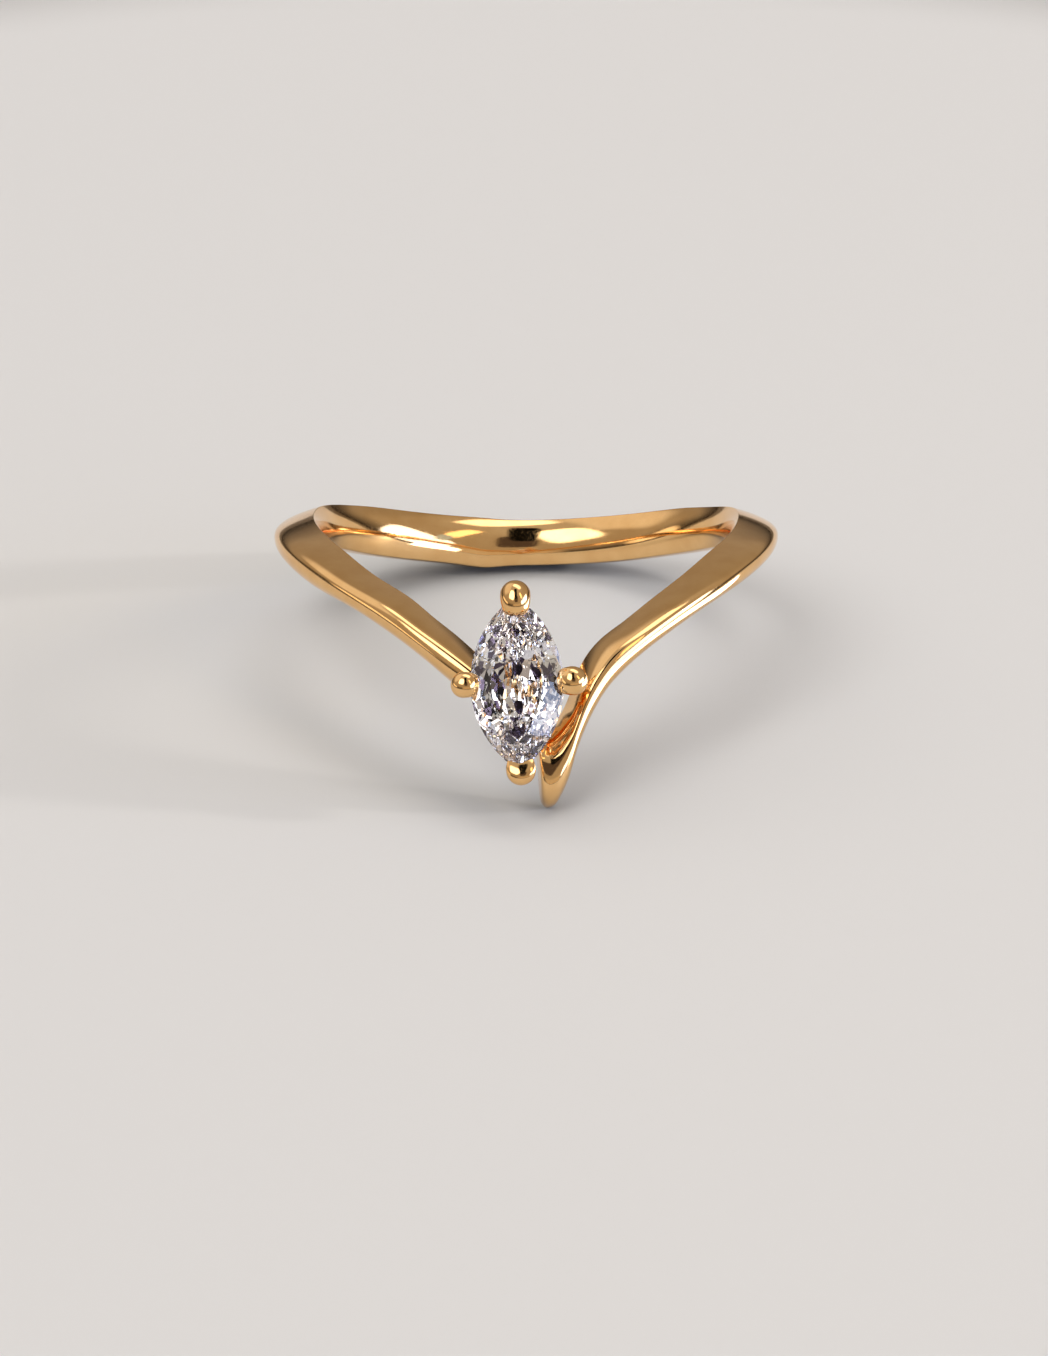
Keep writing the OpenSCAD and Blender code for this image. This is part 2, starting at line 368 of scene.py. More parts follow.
@dataclass(frozen=True)
class ShankShape:
    """The shank's band, swept round the finger through a table of sections.

    Attributes:
        finger_r: inner radius, in mm.
        thickness: thickness of the band at its middle, in mm.
        comfort: share of the thickness that the inside rounds over.
        lower_squareness: exponent of the outer face's lower half.
        upper_flatness: exponent of the outer face up to its crisp upper edge.
        inner_flatness: exponent of the inner face between its edges.
        sections: the table, from the back round by the front to the back.
    """

    finger_r: float = 8.1
    thickness: float = 1.9
    comfort: float = 0.18
    lower_squareness: float = 2.6
    upper_flatness: float = 2.3
    inner_flatness: float = 2.4
    sections: tuple[Section, ...] = SHANK_SECTIONS

    def slope(self, column: str, row: int) -> float:
        """Gives the slope between a row of the table and the next.

        Args:
            column: "lower" or "upper".
            row: the first of the two rows.

        Returns:
            Millimetres a degree.
        """
        before, after = self.sections[row], self.sections[row + 1]
        return (getattr(after, column) - getattr(before, column)) / (after.angle - before.angle)

    def knot(self, column: str, row: int) -> float:
        """Gives the slope of the smooth curve at a row, level wherever the column turns.

        Args:
            column: "lower" or "upper".
            row: the row.

        Returns:
            Millimetres a degree.
        """
        if row in (0, len(self.sections) - 1):
            return 0.0
        before, after = self.slope(column, row - 1), self.slope(column, row)
        return 0.0 if before * after <= 0.0 else 2.0 * before * after / (before + after)

    def level(self, column: str, angle: float) -> float:
        """Gives an edge's level at any angle, on a cubic from row to row.

        Args:
            column: "lower" or "upper".
            angle: degrees round the finger from the front.

        Returns:
            The level, in mm.
        """
        rows = self.sections
        row = max(i for i in range(len(rows) - 1) if i == 0 or rows[i].angle <= angle)
        span = rows[row + 1].angle - rows[row].angle
        s = (angle - rows[row].angle) / span
        return (
            (2 * s**3 - 3 * s**2 + 1) * getattr(rows[row], column)
            + (s**3 - 2 * s**2 + s) * span * self.knot(column, row)
            + (3 * s**2 - 2 * s**3) * getattr(rows[row + 1], column)
            + (s**3 - s**2) * span * self.knot(column, row + 1)
        )

    def section(self, angle: float, outer_steps: int, inner_steps: int) -> list[tuple[float, float]]:
        """Gives one section, out over the face and back along the finger.

        Args:
            angle: degrees round the finger from the front.
            outer_steps: points on the outer half.
            inner_steps: points on the inner half.

        Returns:
            Radius and level of each point, in mm.
        """
        low, high = self.level("lower", angle), self.level("upper", angle)
        middle, half = (low + high) / 2, (high - low) / 2
        edge_r = self.finger_r + self.comfort * self.thickness
        points = []
        for k in range(outer_steps):
            s = -math.cos(math.pi * k / outer_steps)
            bulge = (1.0 - s**self.upper_flatness if s > 0.0
                     else (1.0 - (-s)**self.lower_squareness)**(1.0 / self.lower_squareness))
            points.append((edge_r + (1.0 - self.comfort) * self.thickness * bulge, middle + half * s))
        for k in range(inner_steps):
            s = math.cos(math.pi * k / inner_steps)
            bulge = 1.0 - abs(s)**self.inner_flatness
            points.append((edge_r - self.comfort * self.thickness * bulge, middle + half * s))
        return points

    def ring(self, angle: float, outer_steps: int, inner_steps: int) -> list[Vector]:
        """Places one section in the ring's frame, whose upright axis is the finger's.

        Args:
            angle: degrees round the finger from the front.
            outer_steps: points on the outer half.
            inner_steps: points on the inner half.

        Returns:
            The points, in mm.
        """
        a = math.radians(angle)
        return [Vector((r * math.sin(a), -r * math.cos(a), z))
                for r, z in self.section(angle, outer_steps, inner_steps)]


@dataclass(frozen=True)
class RingPose:
    """How the ring lies, and how its stone sits on it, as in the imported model.

    Attributes:
        lean: degrees that the ring leans back, so that its point and its back stand level.
        rest_height: height of the ring's middle over the surface, in mm.
        mid_y: middle of the leaning ring's length, in mm.
        stone_r: distance of the girdle from the finger's axis, in mm.
        stone_level: level of the girdle's middle, in mm.
        stone_turn: degrees round the finger from the front.
        stone_roll: degrees that the stone is turned in its setting.
    """

    lean: float = 32.8516
    rest_height: float = 5.05856
    mid_y: float = -3.14911
    stone_r: float = 10.8
    stone_level: float = -6.84
    stone_turn: float = -2.1
    stone_roll: float = 1.5

    def laid(self) -> Matrix:
        """Takes the ring's frame in mm to the scene.

        Returns:
            The transform, with metres on its far side.
        """
        return (
            Matrix.Scale(MM, 4)
            @ Matrix.Translation((0.0, -self.mid_y, self.rest_height))
            @ Matrix.Rotation(math.radians(-self.lean), 4, "X")
        )

    def setting(self) -> Matrix:
        """Takes the stone's frame in mm, its table up, to the scene.

        Returns:
            The transform, with metres on its far side.
        """
        return (
            self.laid()
            @ Matrix.Rotation(math.radians(self.stone_turn), 4, "Z")
            @ Matrix.Translation((0.0, -self.stone_r, self.stone_level))
            @ Matrix.Rotation(math.radians(90.0), 4, "X")
            @ Matrix.Rotation(math.radians(self.stone_roll), 4, "Z")
        )


def gaze(azimuth: float, elevation: float) -> Vector:
    """Gives a direction away from the ring.

    Args:
        azimuth: degrees round from the front to the right.
        elevation: degrees over the surface.

    Returns:
        A unit vector.
    """
    turn, tilt = math.radians(azimuth), math.radians(elevation)
    return Vector((math.sin(turn) * math.cos(tilt), -math.cos(turn) * math.cos(tilt), math.sin(tilt)))


def rightward(azimuth: float) -> Vector:
    """Gives the level direction to the right of someone who looks at the ring.

    Args:
        azimuth: degrees that they stand round from the front to the right.

    Returns:
        A unit vector.
    """
    turn = math.radians(azimuth)
    return Vector((math.cos(turn), math.sin(turn), 0.0))


def deselect() -> None:
    """Leaves edit mode and clears the selection."""
    if bpy.context.object and bpy.context.object.mode != "OBJECT":
        bpy.ops.object.mode_set(mode="OBJECT")
    bpy.ops.object.select_all(action="DESELECT")


def pick(piece: bpy.types.Object) -> None:
    """Makes one piece the only selected and the active one.

    Args:
        piece: the piece.
    """
    deselect()
    piece.select_set(True)
    bpy.context.view_layer.objects.active = piece


def place(piece: bpy.types.Object, transform: Matrix) -> None:
    """Puts a piece's place into its mesh and leaves its object at the origin.

    Args:
        piece: the piece.
        transform: from the piece's own frame to the scene.
    """
    piece.data.transform(transform @ piece.matrix_basis)
    piece.matrix_basis = Matrix.Identity(4)


def apply_modifiers(piece: bpy.types.Object) -> None:
    """Applies a piece's modifiers in order.

    Args:
        piece: the piece.
    """
    pick(piece)
    for modifier in list(piece.modifiers):
        bpy.ops.object.modifier_apply(modifier=modifier.name)


def subdivide(piece: bpy.types.Object, levels: int) -> None:
    """Smooths a cage and applies it.

    Args:
        piece: the piece.
        levels: how often each face is split.
    """
    pick(piece)
    bpy.ops.object.modifier_add(type="SUBSURF")
    piece.modifiers[-1].levels = levels
    piece.modifiers[-1].render_levels = levels
    apply_modifiers(piece)


def settle(piece: bpy.types.Object, material: bpy.types.Material, node: str) -> None:
    """Gives a piece its finish and its place in the part.

    Args:
        piece: the piece.
        material: its finish.
        node: the node that it stands in for.
    """
    piece.data.materials.clear()
    piece.data.materials.append(material)
    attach(piece, BODY)
    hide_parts(node)
    LOG.info("%s: %d faces", piece.name, len(piece.data.polygons))


@dataclass(frozen=True)
class Shank:
    """The pointed band, from a torus whose loops take the table's sections.

    Attributes:
        shape: the band's sections.
        outer_steps: points of a section over the outer face.
        inner_steps: points of a section over the inside.
        spans: from angle, to angle and number of sections of each stretch.
        smoothing: how often each face is split at the end.
    """

    shape: ShankShape = field(default_factory=ShankShape)
    outer_steps: int = 30
    inner_steps: int = 16
    spans: tuple[tuple[float, float, int], ...] = (
        (-180.0, -36.0, 40),
        (-36.0, -4.0, 22),
        (-4.0, 13.0, 50),
        (13.0, 36.0, 20),
        (36.0, 180.0, 40),
    )
    smoothing: int = 1

    def angles(self) -> list[float]:
        """Lists the angles of the sections, closest together at the point.

        Returns:
            Degrees round the finger from the front.
        """
        return [first + (last - first) * i / count
                for first, last, count in self.spans for i in range(count)]

    def build(self, pose: RingPose) -> bpy.types.Object:
        """Models the band.

        Args:
            pose: how the ring lies.

        Returns:
            The band.
        """
        angles = self.angles()
        section_steps = self.outer_steps + self.inner_steps
        deselect()
        bpy.ops.mesh.primitive_torus_add(
            major_segments=len(angles), minor_segments=section_steps,
            major_radius=self.shape.finger_r, minor_radius=self.shape.thickness / 2)
        band = bpy.context.object
        band.name = "shank"
        to_scene = pose.laid()
        places = [point for angle in angles
                  for point in self.shape.ring(angle, self.outer_steps, self.inner_steps)]
        for vertex, point in zip(band.data.vertices, places):
            vertex.co = to_scene @ point
        subdivide(band, self.smoothing)
        bpy.ops.object.mode_set(mode="EDIT")
        bpy.ops.mesh.select_all(action="SELECT")
        bpy.ops.mesh.normals_make_consistent(inside=False)
        bpy.ops.object.mode_set(mode="OBJECT")
        bpy.ops.object.shade_smooth()
        return band


@dataclass(frozen=True)
class ClawShape:
    """One claw: a stem that widens to the girdle, and a round tip over the stone's edge.

    Attributes:
        name: the piece's name.
        turn: degrees round the stone's middle from its right.
        shift: how far its foot's line is off the stone's middle, in mm.
        foot_out: distance of its foot from the middle, in mm.
        head_out: distance of its head, in mm.
        tip_out: distance of its tip, in mm.
        radius: radius of its tip, in mm.
        lean_in: how far the tip leans over the stone, in mm.
        tip_z: height at which its tip starts to bend, in mm.
        bend: degrees that its tip bends inwards.
    """

    name: str
    turn: float
    shift: tuple[float, float]
    foot_out: float
    head_out: float
    tip_out: float
    radius: float
    lean_in: float
    tip_z: float
    bend: float


@dataclass(frozen=True)
class ClawRing:
    """One ring of points of a claw, in the plane that its stem leans in.

    Attributes:
        out: distance of its middle from the stone's, in mm.
        up: height of its middle over the girdle's, in mm.
        radius: its radius, in mm.
        lean: how far it is turned outwards, in radians.
    """

    out: float = 0.0
    up: float = 0.0
    radius: float = 1.0
    lean: float = 0.0


END_Y = 3.5
SIDE_X = 2.13
CLAWS = (
    ClawShape("upper_claw", 90.0, (0.03, 0.0), 2.05, END_Y, END_Y - 0.06, 0.60, 0.88, 0.18, 75.0),
    ClawShape("lower_claw", -90.0, (0.05, 0.0), 2.05, END_Y - 0.06, END_Y - 0.12, 0.58, 0.50, 0.0, 30.0),
    ClawShape("right_claw", 0.0, (0.06, 0.03), 1.6, SIDE_X, SIDE_X, 0.57, 0.62, 0.16, 60.0),
    ClawShape("left_claw", 180.0, (0.05, 0.0), 1.6, SIDE_X, SIDE_X, 0.51, 0.62, 0.16, 60.0),
)


@dataclass(frozen=True)
class Setting:
    """The four claws and the oval gallery under the stone.

    Attributes:
        claws: the claws.
        stem_r: radius of a stem at its foot, in mm.
        foot_z: height of the feet from the girdle, in mm.
        foot_end: length and radius of the foot's end in the gallery's wire, in mm.
        waist: how far up the stem its middle ring lies, and how far it has widened there.
        head_z: height at which a claw takes its width, in mm.
        head_share: radius of the head as a share of the tip's.
        waist_share: radius that the stem's middle ring widens towards, as a share of the tip's.
        claw_sides: points of each ring of a claw.
        claw_smoothing: how often a claw's faces are split.
        gallery: half width, half length and wire radius of the gallery, in mm.
        gallery_steps: points round the gallery, and round its wire.
        seat: how much larger than the stone its place in the gold is.
        crease: angle up to which the gold is shaded smooth, in degrees.
        dome: height, lean, radius and bend of the tip's rings, as shares of the claw's own.
    """

    claws: tuple[ClawShape, ...] = CLAWS
    stem_r: float = 0.34
    foot_z: float = -1.75
    foot_end: tuple[float, float] = (0.3, 0.15)
    waist: tuple[float, float] = (0.55, 0.45)
    head_z: float = -0.25
    head_share: float = 0.88
    waist_share: float = 0.86
    claw_sides: int = 24
    claw_smoothing: int = 2
    gallery: tuple[float, float, float] = (1.4, 2.05, 0.31)
    gallery_steps: tuple[int, int] = (72, 24)
    seat: float = 1.008
    crease: float = 35.0
    dome: tuple[tuple[float, float, float, float], ...] = (
        (0.12, 0.02, 1.00, 0.10),
        (0.26, 0.15, 1.00, 0.35),
        (0.30, 0.40, 0.95, 0.65),
        (0.25, 0.70, 0.84, 0.90),
        (0.20, 0.90, 0.60, 1.00),
        (0.18, 1.00, 0.22, 1.00),
    )

    def claw_rings(self, shape: ClawShape) -> list[ClawRing]:
        """Lists a claw's rings from its foot to its tip.

        Args:
            shape: the claw's sizes.

        Returns:
            The rings.
        """
        lean = math.atan2(shape.head_out - shape.foot_out, self.head_z - self.foot_z)
        length, end_r = self.foot_end
        up_stem, widened = self.waist
        rings = [
            ClawRing(shape.foot_out - length * math.sin(lean), self.foot_z - length * math.cos(lean),
                     end_r, lean),
            ClawRing(shape.foot_out, self.foot_z, self.stem_r, lean),
            ClawRing(shape.foot_out + (shape.head_out - shape.foot_out) * up_stem,
                     self.foot_z + (self.head_z - self.foot_z) * up_stem,
                     self.stem_r + (self.waist_share * shape.radius - self.stem_r) * widened, lean),
            ClawRing(shape.head_out, self.head_z, self.head_share * shape.radius, lean / 2),
            ClawRing(shape.tip_out, shape.tip_z, shape.radius),
        ]
        for up, inwards, share, bent in self.dome:
            rings.append(ClawRing(shape.tip_out - shape.lean_in * inwards, shape.tip_z + shape.radius * up,
                                  shape.radius * share, -math.radians(shape.bend) * bent))
        return rings

    def claw(self, shape: ClawShape, pose: RingPose, seat: bpy.types.Object) -> bpy.types.Object:
        """Models one claw: a disc drawn up from its foot, widened, and bent over the stone.

        Args:
            shape: the claw's sizes.
            pose: how the ring lies.
            seat: the solid that the stone's place is cut with.

        Returns:
            The claw.
        """
        deselect()
        bpy.ops.mesh.primitive_circle_add(vertices=self.claw_sides, radius=1.0, fill_type="NGON")
        claw = bpy.context.object
        claw.name = shape.name
        bpy.ops.object.mode_set(mode="EDIT")
        bpy.ops.mesh.select_all(action="SELECT")
        last = ClawRing()
        for index, ring in enumerate(self.claw_rings(shape)):
            if index:
                bpy.ops.mesh.extrude_region_move()
            middle = (last.out, 0.0, last.up)
            bpy.ops.transform.resize(value=(ring.radius / last.radius,) * 3, center_override=middle)
            bpy.ops.transform.rotate(value=last.lean - ring.lean, orient_axis="Y", center_override=middle)
            bpy.ops.transform.translate(value=(ring.out - last.out, 0.0, ring.up - last.up))
            last = ring
        bpy.ops.mesh.select_all(action="SELECT")
        bpy.ops.mesh.normals_make_consistent(inside=False)
        bpy.ops.object.mode_set(mode="OBJECT")
        subdivide(claw, self.claw_smoothing)
        place(claw, pose.setting() @ Matrix.Translation((*shape.shift, 0.0))
              @ Matrix.Rotation(math.radians(shape.turn), 4, "Z"))
        self.cut_seat(claw, seat)
        return claw

    def gallery_ring(self, pose: RingPose) -> bpy.types.Object:
        """Models the gallery as an oval of wire.

        Args:
            pose: how the ring lies.

        Returns:
            The gallery.
        """
        half_x, half_y, wire = self.gallery
        round_it, round_wire = self.gallery_steps
        middle = (half_x + half_y) / 2
        deselect()
        bpy.ops.mesh.primitive_torus_add(
            major_segments=round_it, minor_segments=round_wire, major_radius=middle, minor_radius=wire)
        ring = bpy.context.object
        ring.name = "gallery"
        ring.scale = (half_x / middle, half_y / middle, 1.0)
        ring.location = (0.0, 0.0, self.foot_z)
        bpy.context.view_layer.update()
        place(ring, pose.setting())
        pick(ring)
        bpy.ops.object.shade_smooth()
        return ring

    def seat_solid(self, stone: bpy.types.Object, pose: RingPose) -> bpy.types.Object:
        """Makes the solid that cuts the stone's place, a little larger than the stone.

        Args:
            stone: the finished stone.
            pose: how the ring lies.

        Returns:
            The solid, which is removed after use.
        """
        solid = bpy.data.objects.new("seat_solid", stone.data.copy())
        bpy.context.scene.collection.objects.link(solid)
        pick(solid)
        bpy.ops.object.mode_set(mode="EDIT")
        bpy.ops.mesh.select_all(action="SELECT")
        bpy.ops.transform.resize(value=(self.seat,) * 3, center_override=pose.setting().translation)
        bpy.ops.object.mode_set(mode="OBJECT")
        return solid

    def cut_seat(self, piece: bpy.types.Object, seat: bpy.types.Object) -> None:
        """Cuts the stone's place out of a piece.

        Args:
            piece: the piece.
            seat: the solid that the place is cut with.
        """
        cut = piece.modifiers.new("seat", "BOOLEAN")
        cut.operation = "DIFFERENCE"
        cut.solver = "EXACT"
        cut.object = seat
        apply_modifiers(piece)
        bpy.ops.object.shade_smooth_by_angle(angle=math.radians(self.crease))


@dataclass(frozen=True)
class Stone:
    """The marquise brilliant, cut from a pointed blank one facet at a time.

    Attributes:
        length: length, in mm.
        width: width, in mm.
        girdle: thickness of the girdle, in mm.
        crown: height of the table over the girdle, in mm.
        pavilion: depth of the keel under the girdle, in mm.
        keel: length of the keel, in mm.
        steps: number of pieces of each side of the outline.
        spare: how much deeper the blank is than the stone, in mm.
        near: how near a cut's plane a point lies on it, in mm.
        merge: how near each other points become one, in mm.
        main: steepness of the crown's main facets, in degrees.
        star_z: height over the girdle at which the stars' share of the reach holds, in mm.
        crown_turns: turns and steepnesses of the crown's facets.
        crown_breaks: turns and steepnesses of the small facets over them, and their height there.
        stars: turns, steepness and share of the stars round the table.
        pavilion_turns: turns of the pavilion's facets, what is added to their steepness, and the
            share of the reach at which they leave the main slope.
    """

    length: float = 6.8
    width: float = 3.62
    girdle: float = 0.1
    crown: float = 0.5
    pavilion: float = 1.62
    keel: float = 1.8
    steps: int = 40
    spare: float = 0.3
    near: float = 1e-5
    merge: float = 1e-4
    main: float = 34.0
    star_z: float = 0.2
    crown_turns: tuple[tuple[float, float], ...] = (
        (0.0, 34.0), (40.0, 34.0), (90.0, 34.0),
        (12.0, 41.0), (30.0, 41.0), (50.0, 41.0), (66.0, 41.0),
    )
    crown_breaks: tuple[tuple[float, float, float], ...] = (
        (6.0, 30.0, 0.16), (25.0, 28.5, 0.20), (46.0, 29.0, 0.18), (70.0, 30.0, 0.16), (84.0, 27.0, 0.24),
    )
    stars: tuple[tuple[float, float, float], ...] = ((20.0, 20.0, 0.98), (62.0, 20.0, 0.98))
    pavilion_turns: tuple[tuple[float, float, float], ...] = (
        (0.0, 0.0, 1.0), (40.0, 0.0, 1.0), (90.0, 0.0, 1.0),
        (12.0, 3.2, 1.0), (30.0, 3.2, 1.0), (50.0, 3.2, 1.0), (66.0, 3.2, 1.0),
        (6.0, -2.4, 0.66), (20.0, -2.8, 0.62), (34.0, -2.2, 0.66), (56.0, -2.6, 0.64), (74.0, -2.4, 0.66),
        (0.0, -5.4, 0.42), (15.0, -6.2, 0.36), (42.0, -5.6, 0.38), (62.0, -6.0, 0.36), (80.0, -5.2, 0.40),
    )

    def arc(self) -> float:
        """Gives the radius of each side of the outline.

        Returns:
            The radius, in mm.
        """
        return ((self.length / 2) ** 2 + (self.width / 2) ** 2) / self.width

    def reach(self, turn: float) -> float:
        """Gives how far the outline reaches towards a direction.

        Args:
            turn: degrees round from the stone's right, up to 90.

        Returns:
            The distance, in mm.
        """
        radius = self.arc()
        if turn > math.degrees(math.asin(self.length / 2 / radius)):
            return self.length / 2 * math.sin(math.radians(turn))
        return radius - (radius - self.width / 2) * math.cos(math.radians(turn))

    def outline(self) -> list[tuple[float, float]]:
        """Gives the outline, point to point up the right side and down the left.

        Returns:
            Its points, in mm.
        """
        radius = self.arc()
        end = math.asin(self.length / 2 / radius)
        right = [(radius * math.cos(b) - (radius - self.width / 2), radius * math.sin(b))
                 for b in (end * (2 * k / self.steps - 1) for k in range(self.steps))]
        return right + [(-x, -y) for x, y in right]

    def sides(self, turn: float) -> list[float]:
        """Mirrors a facet's turn to the stone's four quarters.

        Args:
            turn: degrees round from the stone's right, up to 90.

        Returns:
            The two or four turns that differ.
        """
        return sorted({way % 360.0 for way in (turn, -turn, 180.0 - turn, 180.0 + turn)})

    def cut(self, turn: float, steepness: float, distance: float, height: float) -> None:
        """Cuts one facet off the mesh being edited, and closes it.

        Args:
            turn: degrees that the facet faces.
            steepness: degrees from the girdle's plane, under 0 on the pavilion.
            distance: how far out the facet passes at the height, in mm.
            height: that height, in mm.
        """
        a, s = math.radians(turn), math.radians(abs(steepness))
        out = (math.cos(a), math.sin(a))
        bpy.ops.mesh.select_all(action="SELECT")
        bpy.ops.mesh.bisect(
            plane_co=(distance * out[0], distance * out[1], height),
            plane_no=(math.sin(s) * out[0], math.sin(s) * out[1], math.copysign(math.cos(s), steepness)),
            use_fill=True, clear_outer=True, threshold=self.near)

    def blank(self) -> bpy.types.Object:
        """Makes the pointed blank, from a cylinder whose edges take the outline.

        Returns:
            The blank.
        """
        points = self.outline()
        top, bottom = self.girdle / 2 + self.crown, -self.girdle / 2 - self.pavilion - self.spare
        deselect()
        bpy.ops.mesh.primitive_cylinder_add(vertices=len(points), radius=1.0, depth=1.0)
        stone = bpy.context.object
        for index, vertex in enumerate(sorted(stone.data.vertices, key=lambda v: (v.co.z, v.index))):
            x, y = points[index % len(points)]
            vertex.co = (x, y, top if vertex.co.z > 0.0 else bottom)
        return stone

    def cut_crown(self) -> None:
        """Cuts the crown's facets, with the table left between them."""
        for turn, steepness in self.crown_turns:
            for side in self.sides(turn):
                self.cut(side, steepness, self.reach(turn), self.girdle / 2)
        for turn, steepness, share in self.stars:
            for side in self.sides(turn):
                self.cut(side, steepness, self.reach(turn) * share, self.girdle / 2 + self.star_z)
        for turn, steepness, height in self.crown_breaks:
            out = self.reach(turn) - height / math.tan(math.radians(self.main))
            for side in self.sides(turn):
                self.cut(side, steepness, out, self.girdle / 2 + height)

    def cut_pavilion(self) -> None:
        """Cuts the pavilion's facets, each tier flatter than the one over it."""
        for turn, added, share in self.pavilion_turns:
            run = self.reach(turn) - self.keel / 2 * math.sin(math.radians(turn))
            inwards = run * (1.0 - share)
            steepness = -(math.degrees(math.atan(self.pavilion / run)) + added)
            height = -self.girdle / 2 - inwards * (self.pavilion / run)
            for side in self.sides(turn):
                self.cut(side, steepness, self.reach(turn) - inwards, height)

    def build(self, pose: RingPose) -> bpy.types.Object:
        """Models the stone.

        Args:
            pose: how the ring lies.

        Returns:
            The stone.
        """
        stone = self.blank()
        stone.name = "cut_stone"
        bpy.ops.object.mode_set(mode="EDIT")
        self.cut_crown()
        self.cut_pavilion()
        bpy.ops.mesh.select_all(action="SELECT")
        bpy.ops.mesh.remove_doubles(threshold=self.merge)
        bpy.ops.mesh.normals_make_consistent(inside=False)
        bpy.ops.object.mode_set(mode="OBJECT")
        bpy.ops.object.shade_flat()
        place(stone, pose.setting())
        return stone


@dataclass(frozen=True)
class Patch:
    """One light or dark shape in the room, a rectangle with round corners.

    Attributes:
        azimuth: degrees of its middle round from the front to the right.
        elevation: degrees of its middle over the surface.
        width: its half width, in degrees.
        height: its half height, in degrees.
        soft: share of its size over which it fades.
        colour: its colour and brightness.
        roundness: 2 for an oval, and more for a shape nearer a rectangle.
    """

    azimuth: float
    elevation: float
    width: float
    height: float
    soft: float
    colour: Colour
    roundness: float = 4.0

    def across(self, tree: bpy.types.NodeTree, look: bpy.types.NodeSocket, axis: Vector,
               size: float) -> bpy.types.NodeSocket:
        """Measures how far a gaze is from the shape's middle along one axis.

        Args:
            tree: the world's nodes.
            look: direction of gaze.
            axis: the axis.
            size: half size along it, in degrees.

        Returns:
            A power of the distance, which is 1 on the shape's edge.
        """
        along = add_math(tree, "DOT_PRODUCT", vectors=True)
        along.inputs[1].default_value = axis / math.sin(math.radians(size))
        off = add_math(tree, "ABSOLUTE")
        power = add_math(tree, "POWER")
        power.inputs[1].default_value = self.roundness
        tree.links.new(look, along.inputs[0])
        tree.links.new(along.outputs["Value"], off.inputs[0])
        tree.links.new(off.outputs["Value"], power.inputs[0])
        return power.outputs["Value"]

    def paint(self, tree: bpy.types.NodeTree, look: bpy.types.NodeSocket,
              under: bpy.types.NodeSocket) -> bpy.types.NodeSocket:
        """Lays the shape over the room painted so far.

        Args:
            tree: the world's nodes.
            look: direction of gaze.
            under: the room's colour so far.

        Returns:
            The colour with the shape in it.
        """
        middle, right = gaze(self.azimuth, self.elevation), rightward(self.azimuth)
        total = add_math(tree, "ADD")
        shape = tree.nodes.new("ShaderNodeMapRange")
        shape.interpolation_type = "SMOOTHSTEP"
        shape.inputs["From Min"].default_value = 1.0
        shape.inputs["From Max"].default_value = max(0.0, 1.0 - self.soft) ** self.roundness
        facing = add_math(tree, "DOT_PRODUCT", vectors=True)
        facing.inputs[1].default_value = middle
        ahead = add_math(tree, "GREATER_THAN")
        ahead.inputs[1].default_value = 0.0
        share = add_math(tree, "MULTIPLY")
        mix = tree.nodes.new("ShaderNodeMix")
        mix.data_type = "RGBA"
        mix.inputs["B"].default_value = (*self.colour, 1.0)
        link = tree.links.new
        link(self.across(tree, look, right, self.width), total.inputs[0])
        link(self.across(tree, look, right.cross(middle), self.height), total.inputs[1])
        link(total.outputs["Value"], shape.inputs["Value"])
        link(look, facing.inputs[0])
        link(facing.outputs["Value"], ahead.inputs[0])
        link(shape.outputs["Result"], share.inputs[0])
        link(ahead.outputs["Value"], share.inputs[1])
        link(share.outputs["Value"], mix.inputs["Factor"])
        link(under, mix.inputs["A"])
        return mix.outputs["Result"]


@dataclass(frozen=True)
class Lamp:
    """A lamp with a flat, bright, rectangular face.

    Attributes:
        name: its name.
        at: the middle of its face, in m.
        back: the direction that its back faces.
        size: its width and height, in m.
        glow: how bright its face is.
        colour: its colour.
    """

    name: str
    at: Vector
    back: Vector
    size: tuple[float, float]
    glow: float
    colour: Colour

    def build(self) -> bpy.types.Object:
        """Adds the lamp.

        Returns:
            The lamp.
        """
        bpy.ops.object.light_add(type="AREA", location=self.at)
        lamp = bpy.context.object
        lamp.name = self.name
        lamp.data.shape = "RECTANGLE"
        lamp.data.size, lamp.data.size_y = self.size
        lamp.data.energy = self.glow * math.pi * self.size[0] * self.size[1]
        lamp.data.color = self.colour
        lamp.rotation_euler = self.back.to_track_quat("Z", "Y").to_euler()
        return lamp


